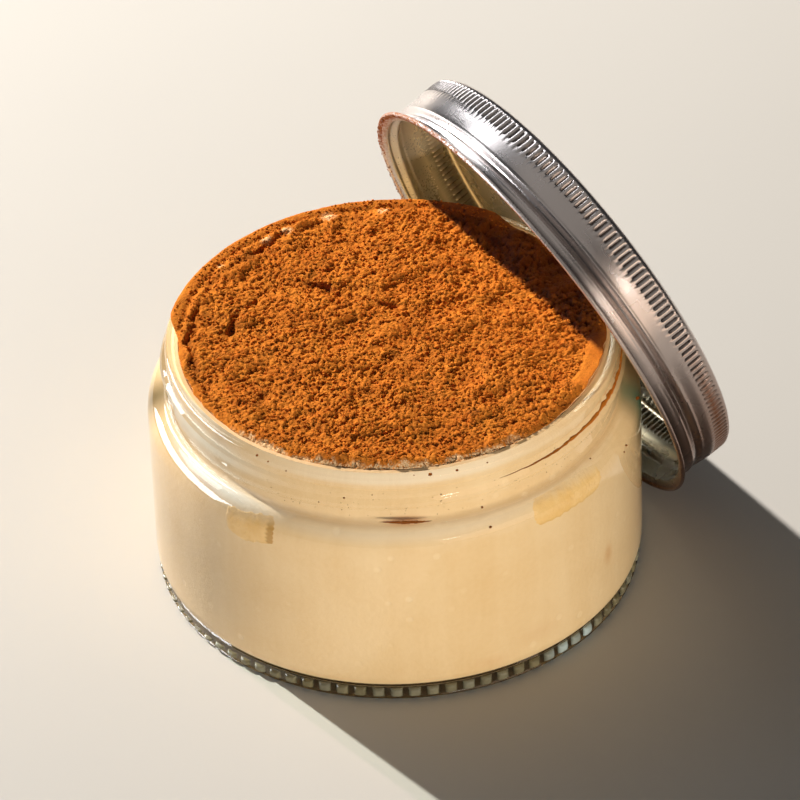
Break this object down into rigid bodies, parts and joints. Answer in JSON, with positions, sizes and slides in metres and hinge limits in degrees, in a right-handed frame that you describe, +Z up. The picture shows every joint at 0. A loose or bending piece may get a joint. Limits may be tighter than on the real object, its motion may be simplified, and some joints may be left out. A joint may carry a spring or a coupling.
{
  "type": "tiramisu in a glass jar",
  "caption": "Tiramisu filled to the lip of a low round screw-top glass jar and dusted with cocoa, with the jar's metal screw lid leaning against its side.",
  "frame": {"origin": "centre of the underside of the jar, in the plane that the jar and the lid's edge stand on", "axes": "+Z up along the jar's axis; +X towards the side that the lid leans on; +Y completes the right-handed frame"},
  "size_m": [0.1066, 0.094, 0.0887],
  "materials": {
    "glass": "smooth pressed soda-lime glass, faintly green where it is thick",
    "cream": "soft mascarpone cream, moist where it presses on the glass",
    "cocoa": "dry sieved cocoa powder, granular and clumped",
    "sponge": "soaked sponge finger with a fine open crumb",
    "lid_metal": "bright satin sheet, pressed, rolled and knurled"
  },
  "bodies": {
    "root": {"jar_glass": "glass", "sponge_finger_left": "sponge", "sponge_finger_right": "sponge", "cream": "cream", "cocoa_layer": "cocoa", "lid": "lid_metal"}
  },
  "joints": []
}
